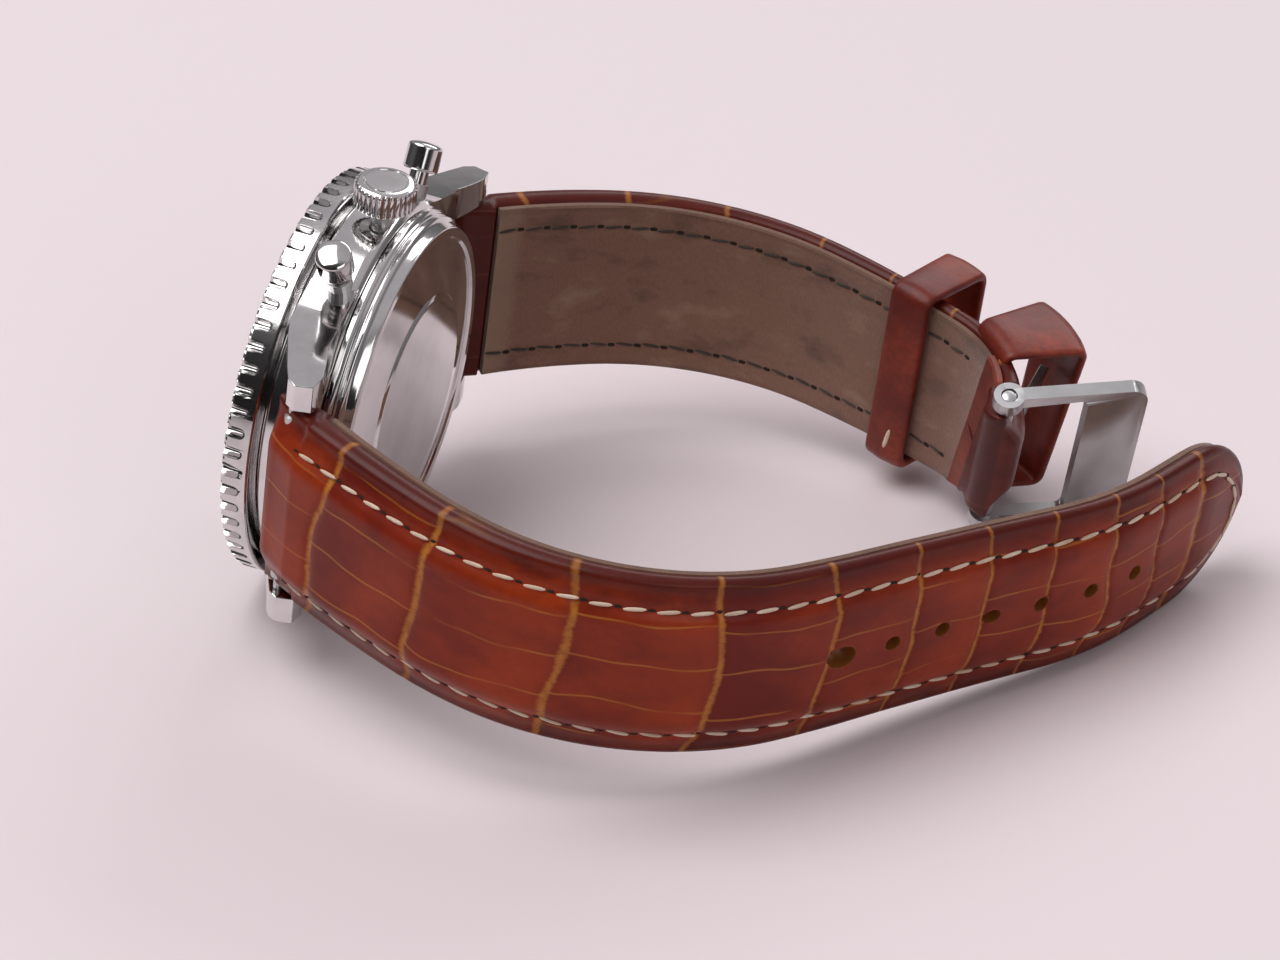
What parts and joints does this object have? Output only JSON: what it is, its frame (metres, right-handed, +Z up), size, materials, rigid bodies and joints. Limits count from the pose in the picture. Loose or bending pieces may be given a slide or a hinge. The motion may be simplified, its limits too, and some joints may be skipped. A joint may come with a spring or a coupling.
{
  "type": "chronograph wristwatch",
  "caption": "Steel chronograph wristwatch lying on its side: turning notched bezel, crown, push buttons and an unbuckled padded leather strap with keepers and a pin buckle.",
  "frame": {"origin": "bottom centre of the bounding box of the whole watch as it lies", "axes": "+Z up; +X from the dial towards the far end of the strap loop; +Y from the six o'clock lugs to the twelve o'clock lugs"},
  "size_m": [0.097, 0.0756, 0.0452],
  "materials": {
    "polished_steel": "mirror polished",
    "satin_steel": "satin",
    "sapphire": "clear, domed",
    "gasket_rubber": "matt black",
    "dial_lacquer": "dark lacquer",
    "flange_print": "printed scale",
    "rule_print": "printed scale",
    "date_print": "printed figures",
    "hand_steel": "polished",
    "red_paint": "gloss red",
    "movement_brass": "gilt",
    "movement_nickel": "rhodium plated",
    "strap_leather": "glossy crocodile grain",
    "keeper_leather": "glossy, dark",
    "lining_leather": "worn nubuck"
  },
  "bodies": {
    "head": {"case_middle": "polished_steel", "caseback": "polished_steel", "caseback_gasket": "gasket_rubber", "crystal": "sapphire", "crystal_gasket": "gasket_rubber", "inner_flange": "flange_print", "dial": "dial_lacquer", "date_disc": "date_print", "movement_ring": "movement_brass", "mainplate": "movement_nickel", "train_bridge": "movement_nickel", "balance_cock": "movement_nickel", "barrel": "movement_brass", "third_wheel": "movement_brass", "escape_wheel": "movement_brass", "pallet_fork": "movement_nickel", "crown_tube": "satin_steel", "pusher_tube_start": "satin_steel", "pusher_spring_start": "satin_steel", "pusher_tube_reset": "satin_steel", "pusher_spring_reset": "satin_steel", "lug_bar_12": "satin_steel", "lug_bar_6": "satin_steel"},
    "turning_bezel": {"bezel": "polished_steel"},
    "rule_ring": {"slide_rule_ring": "rule_print"},
    "minute_train": {"minute_hand": "hand_steel", "centre_wheel": "movement_brass"},
    "hour_train": {"hour_hand": "hand_steel"},
    "chrono_arbor": {"chrono_seconds_hand": "red_paint"},
    "seconds_train": {"running_seconds_hand": "hand_steel", "fourth_wheel": "movement_brass"},
    "minute_counter": {"minute_counter_hand": "hand_steel"},
    "hour_counter": {"hour_counter_hand": "hand_steel"},
    "winding_rotor": {"rotor": "movement_nickel"},
    "balance": {"balance_wheel": "movement_brass"},
    "stem_slide": {"setting_lever": "movement_nickel"},
    "winding_stem": {"crown": "polished_steel", "stem": "satin_steel"},
    "start_pusher": {"pusher_start": "polished_steel"},
    "reset_pusher": {"pusher_reset": "polished_steel"},
    "long_strap": {"strap_long": "strap_leather", "strap_long_lining": "lining_leather"},
    "short_strap": {"strap_short": "strap_leather", "strap_short_lining": "lining_leather", "fixed_keeper": "keeper_leather", "buckle_bar": "satin_steel"},
    "loose_keeper": {"sliding_keeper": "keeper_leather"},
    "buckle": {"buckle_frame": "satin_steel"},
    "tang": {"buckle_tang": "satin_steel"}
  },
  "joints": [
    {"name": "bezel_turn", "type": "hinge", "parent": "head", "child": "turning_bezel", "pos_m": [-0.04062, -0.0021, 0.02089], "axis": [-0.9905, 0, 0.1374], "continuous": true},
    {"name": "rule_ring_turn", "type": "hinge", "parent": "head", "child": "rule_ring", "pos_m": [-0.04062, -0.0021, 0.02089], "axis": [-0.9905, 0, 0.1374], "continuous": true},
    {"name": "minute_turn", "type": "hinge", "parent": "head", "child": "minute_train", "pos_m": [-0.04062, -0.0021, 0.02089], "axis": [-0.9905, 0, 0.1374], "continuous": true},
    {"name": "hour_turn", "type": "hinge", "parent": "head", "child": "hour_train", "pos_m": [-0.04062, -0.0021, 0.02089], "axis": [-0.9905, 0, 0.1374], "continuous": true},
    {"name": "chrono_turn", "type": "hinge", "parent": "head", "child": "chrono_arbor", "pos_m": [-0.04062, -0.0021, 0.02089], "axis": [-0.9905, 0, 0.1374], "continuous": true},
    {"name": "seconds_turn", "type": "hinge", "parent": "head", "child": "seconds_train", "pos_m": [-0.04161, -0.0021, 0.01376], "axis": [-0.9905, 0, 0.1374], "continuous": true},
    {"name": "minute_counter_turn", "type": "hinge", "parent": "head", "child": "minute_counter", "pos_m": [-0.04062, 0.0051, 0.02089], "axis": [-0.9905, 0, 0.1374], "continuous": true},
    {"name": "hour_counter_turn", "type": "hinge", "parent": "head", "child": "hour_counter", "pos_m": [-0.04062, -0.0093, 0.02089], "axis": [-0.9905, 0, 0.1374], "continuous": true},
    {"name": "rotor_turn", "type": "hinge", "parent": "head", "child": "winding_rotor", "pos_m": [-0.04062, -0.0021, 0.02089], "axis": [-0.9905, 0, 0.1374], "continuous": true},
    {"name": "balance_swing", "type": "hinge", "parent": "head", "child": "balance", "pos_m": [-0.03991, 0.0053, 0.02604], "axis": [-0.9905, 0, 0.1374], "range_deg": [-150, 150]},
    {"name": "crown_pull", "type": "slide", "parent": "head", "child": "stem_slide", "axis": [0.1374, 0, 0.9905], "range_m": [0, 0.001]},
    {"name": "crown_turn", "type": "hinge", "parent": "stem_slide", "child": "winding_stem", "pos_m": [-0.03874, -0.0021, 0.02063], "axis": [0.1374, 0, 0.9905], "continuous": true},
    {"name": "start_press", "type": "slide", "parent": "head", "child": "start_pusher", "axis": [0.1202, 0.4848, 0.8663], "range_m": [-0.0012, 0], "stiffness_N_per_m": 800, "springref_m": 0.0005, "deforming": ["pusher_spring_start"]},
    {"name": "reset_press", "type": "slide", "parent": "head", "child": "reset_pusher", "axis": [0.1202, -0.4848, 0.8663], "range_m": [-0.0012, 0], "stiffness_N_per_m": 800, "springref_m": 0.0005, "deforming": ["pusher_spring_reset"]},
    {"name": "long_strap_swing", "type": "hinge", "parent": "head", "child": "long_strap", "pos_m": [-0.03804, -0.0246, 0.02053], "axis": [0.1374, 0, 0.9905], "range_deg": [-35, 1]},
    {"name": "short_strap_swing", "type": "hinge", "parent": "head", "child": "short_strap", "pos_m": [-0.03804, 0.0204, 0.02053], "axis": [0.1374, 0, 0.9905], "range_deg": [-1, 35]},
    {"name": "keeper_slide", "type": "slide", "parent": "short_strap", "child": "loose_keeper", "axis": [0.9168, -0.3785, -0.1272], "range_m": [-0.0035, 0.0015]},
    {"name": "buckle_swing", "type": "hinge", "parent": "short_strap", "child": "buckle", "pos_m": [0.02296, 0.01797, 0.01206], "axis": [0.2014, -0.3458, 0.9165], "range_deg": [-8, 20]},
    {"name": "tang_swing", "type": "hinge", "parent": "short_strap", "child": "tang", "pos_m": [0.02296, 0.01797, 0.01206], "axis": [0.2014, -0.3458, 0.9165], "range_deg": [-3, 0]}
  ],
  "couplings": [
    {"joint": "rule_ring_turn", "follows": "bezel_turn", "ratio": 1},
    {"joint": "hour_turn", "follows": "minute_turn", "ratio": 0.083333},
    {"joint": "minute_counter_turn", "follows": "chrono_turn", "ratio": 0.033333},
    {"joint": "hour_counter_turn", "follows": "chrono_turn", "ratio": 0.0013889}
  ]
}
